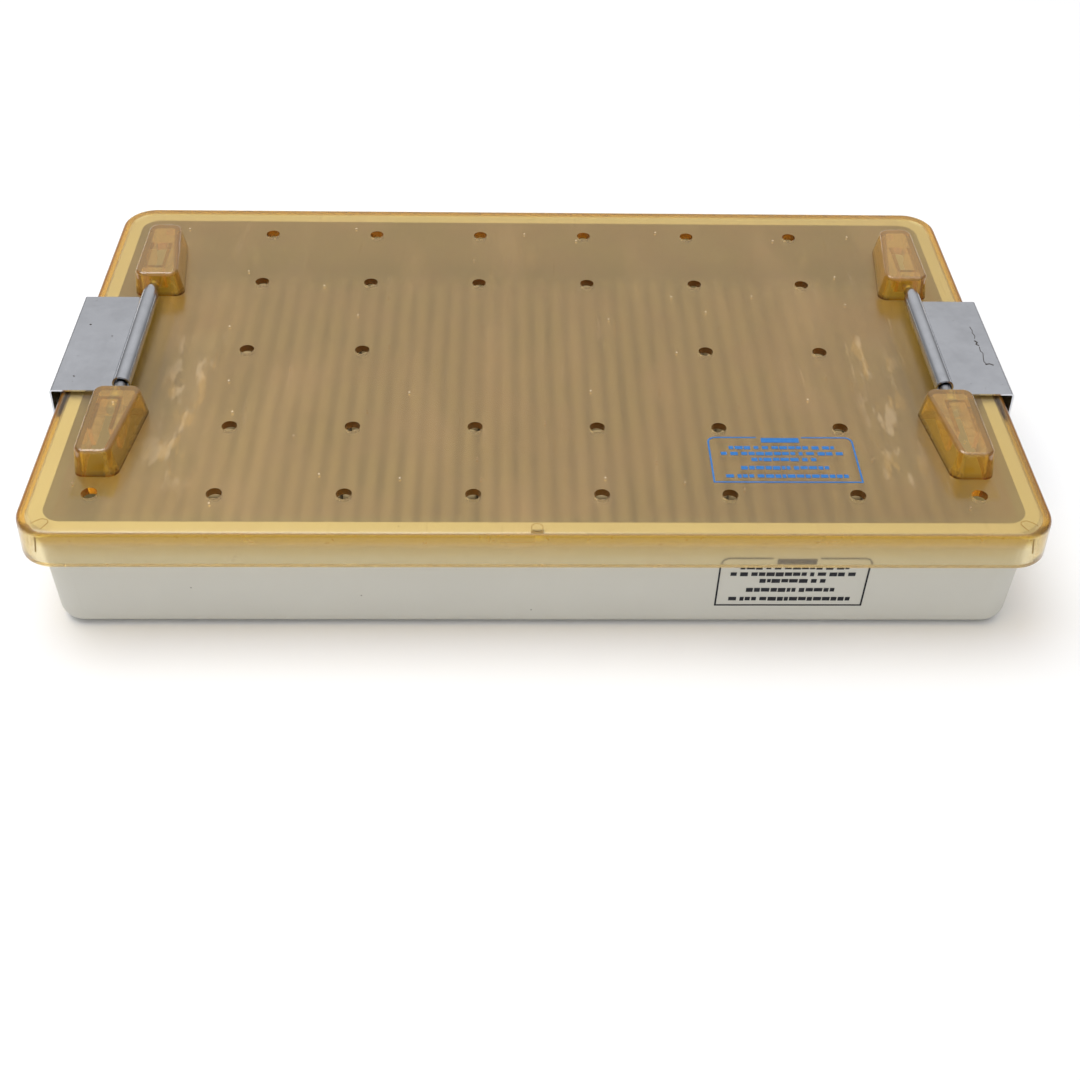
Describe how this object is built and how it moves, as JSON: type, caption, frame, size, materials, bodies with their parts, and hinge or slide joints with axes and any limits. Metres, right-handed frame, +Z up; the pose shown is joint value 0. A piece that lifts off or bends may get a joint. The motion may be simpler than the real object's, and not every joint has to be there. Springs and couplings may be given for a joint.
{
  "type": "instrument tray",
  "caption": "Instrument sterilising tray: opaque plastic base, vented clear amber lid, hinged sheet-steel side latches and a silicone finger mat inside.",
  "frame": {"origin": "middle of the base's underside, on the surface the tray stands on", "axes": "+X along the long side, +Y across the short side, +Z up through the lid"},
  "size_m": [0.2608, 0.1528, 0.0435],
  "materials": {
    "base_plastic": "fine moulded satin",
    "lid_amber": "clear amber, glossy",
    "mat_silicone": "soft matte silicone",
    "latch_steel": "rolled sheet, lightly scratched",
    "rod_steel": "drawn rod"
  },
  "bodies": {
    "base": {"base_tray": "base_plastic", "finger_mat": "mat_silicone"},
    "lid": {"lid": "lid_amber", "left_latch_rod": "rod_steel", "right_latch_rod": "rod_steel"},
    "latch_left": {"left_latch": "latch_steel"},
    "latch_right": {"right_latch": "latch_steel"}
  },
  "joints": [
    {"name": "lid_lift", "type": "slide", "parent": "base", "child": "lid", "axis": [0, 0, 1], "range_m": [0, 0.06]},
    {"name": "latch_left_swing", "type": "hinge", "parent": "lid", "child": "latch_left", "pos_m": [-0.1101, 0, 0.039], "axis": [0, 1, 0], "range_deg": [0, 190]},
    {"name": "latch_right_swing", "type": "hinge", "parent": "lid", "child": "latch_right", "pos_m": [0.1101, 0, 0.039], "axis": [0, -1, 0], "range_deg": [0, 190]}
  ]
}
